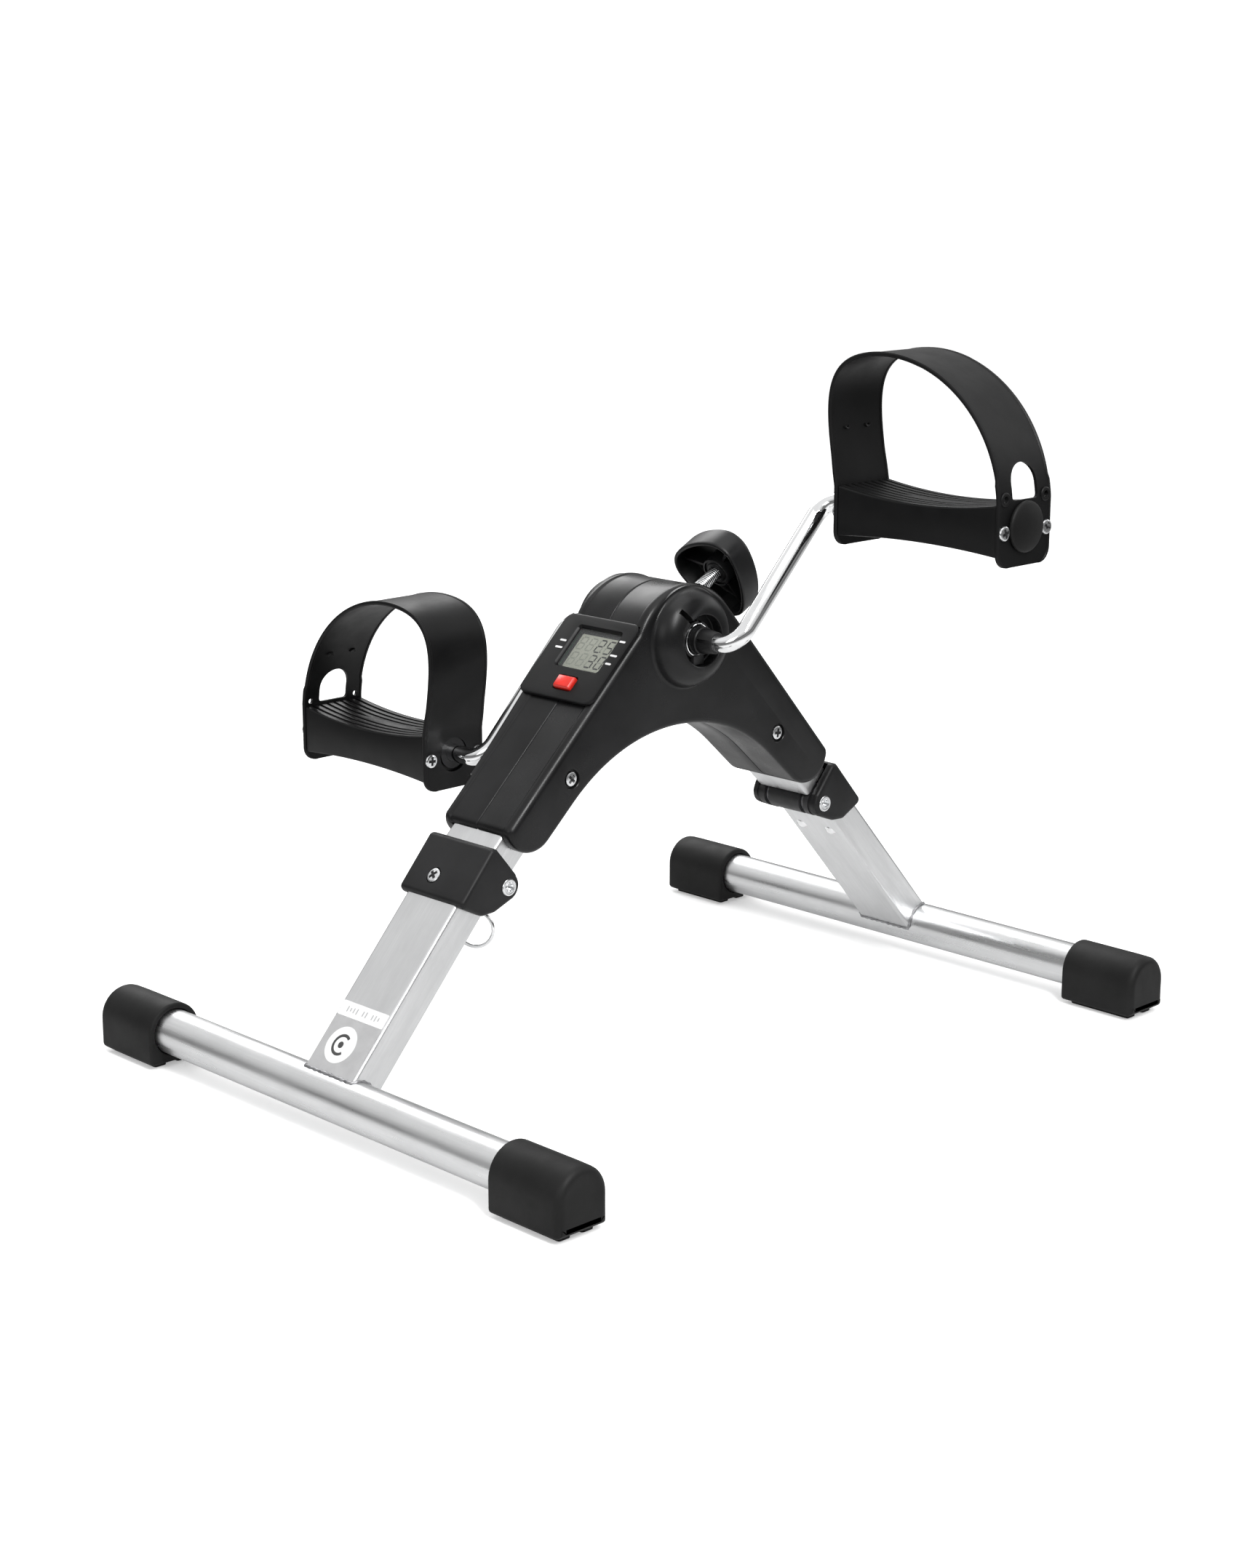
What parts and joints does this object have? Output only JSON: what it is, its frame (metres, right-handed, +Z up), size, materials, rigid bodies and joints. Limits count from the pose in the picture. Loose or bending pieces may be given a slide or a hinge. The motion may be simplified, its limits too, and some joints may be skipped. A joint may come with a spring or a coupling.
{
  "type": "pedal exerciser",
  "caption": "Folding under-desk pedal exerciser with hinged legs on round foot bars, a bent-rod crank with strapped pedals, a tension knob and a small counter console.",
  "frame": {"origin": "on the floor, midway between the two foot bars and on the housing's middle plane", "axes": "+X along the foot bars to the right pedal, +Y from the console side to the knob side, +Z up"},
  "size_m": [0.4116, 0.487, 0.3926],
  "materials": {
    "housing_plastic": "satin black ABS, fine moulded texture",
    "pedal_plastic": "matt black moulded plastic",
    "strap_rubber": "matt black flexible strap",
    "foot_rubber": "matt black rubber",
    "knob_plastic": "satin black plastic",
    "tube_steel": "bright zinc-plated steel tube, fine drawn grain",
    "bracket_steel": "plain pressed steel",
    "cast_black": "satin black paint",
    "crank_chrome": "bright chrome plate",
    "fastener_steel": "bright plated steel",
    "lcd_face": "grey-green liquid crystal face",
    "lens_clear": "clear window",
    "board_green": "green solder mask",
    "battery_steel": "plain can",
    "sensor_plastic": "black plastic",
    "button_red": "bright red",
    "magnet_grey": "nickel plated",
    "bush_nylon": "black nylon",
    "felt": "brown felt"
  },
  "bodies": {
    "frame": {"left_shell": "housing_plastic", "right_shell": "housing_plastic", "shell_screws": "fastener_steel", "front_arm_tube": "tube_steel", "rear_arm_tube": "tube_steel", "front_arm_knuckle": "cast_black", "rear_arm_knuckle": "cast_black", "hub_bracket": "bracket_steel", "left_bush": "pedal_plastic", "right_bush": "pedal_plastic", "tension_nut": "fastener_steel", "console_panel": "housing_plastic", "lcd_screen": "lcd_face", "lcd_lens": "lens_clear", "circuit_board": "board_green", "battery": "battery_steel", "reed_sensor": "sensor_plastic", "sensor_lead": "sensor_plastic"},
    "button": {"reset_button": "button_red"},
    "crank": {"crank_rod": "crank_chrome", "left_collar": "pedal_plastic", "right_collar": "pedal_plastic", "brake_drum": "bracket_steel", "drum_magnet": "magnet_grey", "spindle_clips": "fastener_steel"},
    "left_pedal": {"left_pedal_body": "pedal_plastic", "left_pedal_strap": "strap_rubber", "left_pedal_cap": "pedal_plastic", "left_pedal_screws": "fastener_steel", "left_pedal_bushes": "bush_nylon"},
    "right_pedal": {"right_pedal_body": "pedal_plastic", "right_pedal_strap": "strap_rubber", "right_pedal_cap": "pedal_plastic", "right_pedal_screws": "fastener_steel", "right_pedal_bushes": "bush_nylon"},
    "brake": {"brake_shoe": "bracket_steel", "brake_pad": "felt"},
    "knob": {"tension_knob": "knob_plastic", "tension_bolt": "fastener_steel"},
    "front_leg": {"front_leg_tube": "tube_steel", "front_foot_bar": "tube_steel", "front_left_cap": "foot_rubber", "front_right_cap": "foot_rubber", "front_leg_bracket": "bracket_steel", "front_hinge_cover": "housing_plastic", "front_hinge_pin": "fastener_steel", "front_rivets": "fastener_steel", "front_cover_screw": "fastener_steel", "lock_collar": "fastener_steel"},
    "lock": {"lock_plunger": "fastener_steel"},
    "ring": {"pull_ring": "fastener_steel"},
    "rear_leg": {"rear_leg_tube": "tube_steel", "rear_foot_bar": "tube_steel", "rear_left_cap": "foot_rubber", "rear_right_cap": "foot_rubber", "rear_leg_bracket": "bracket_steel", "rear_hinge_cover": "housing_plastic", "rear_hinge_pin": "fastener_steel", "rear_rivets": "fastener_steel", "rear_cover_screw": "fastener_steel"}
  },
  "joints": [
    {"name": "front_leg_fold", "type": "hinge", "parent": "frame", "child": "front_leg", "pos_m": [0, -0.1255, 0.117], "axis": [1, 0, 0], "range_deg": [0, 112]},
    {"name": "rear_leg_fold", "type": "hinge", "parent": "frame", "child": "rear_leg", "pos_m": [0, 0.1255, 0.117], "axis": [-1, 0, 0], "range_deg": [0, 95]},
    {"name": "lock_pull", "type": "slide", "parent": "front_leg", "child": "lock", "axis": [0, 0.7455, -0.6665], "range_m": [0, 0.005], "stiffness_N_per_m": 600, "springref_m": -0.006},
    {"name": "ring_swing", "type": "hinge", "parent": "lock", "child": "ring", "pos_m": [0, -0.13399, 0.0991], "axis": [0.7071, 0.4713, 0.5271], "range_deg": [-45, 5]},
    {"name": "crank_turn", "type": "hinge", "parent": "frame", "child": "crank", "pos_m": [0, 0.007, 0.2335], "axis": [1, 0, 0], "continuous": true},
    {"name": "left_pedal_spin", "type": "hinge", "parent": "crank", "child": "left_pedal", "pos_m": [-0.1453, -0.06385, 0.16013], "axis": [1, 0, 0], "continuous": true},
    {"name": "right_pedal_spin", "type": "hinge", "parent": "crank", "child": "right_pedal", "pos_m": [0.1453, 0.07785, 0.30687], "axis": [1, 0, 0], "continuous": true},
    {"name": "brake_press", "type": "slide", "parent": "frame", "child": "brake", "axis": [0, -0.8829, -0.4695], "range_m": [0, 0.0036]},
    {"name": "knob_turn", "type": "hinge", "parent": "brake", "child": "knob", "pos_m": [0, 0.05998, 0.26167], "axis": [0, 0.8829, 0.4695], "range_deg": [0, 1030]},
    {"name": "button_press", "type": "slide", "parent": "frame", "child": "button", "axis": [0, 0.6915, -0.7224], "range_m": [0, 0.001], "stiffness_N_per_m": 800, "springref_m": -0.001}
  ],
  "couplings": [
    {"joint": "brake_press", "follows": "knob_turn", "m_per_rad": 0.00019894}
  ]
}
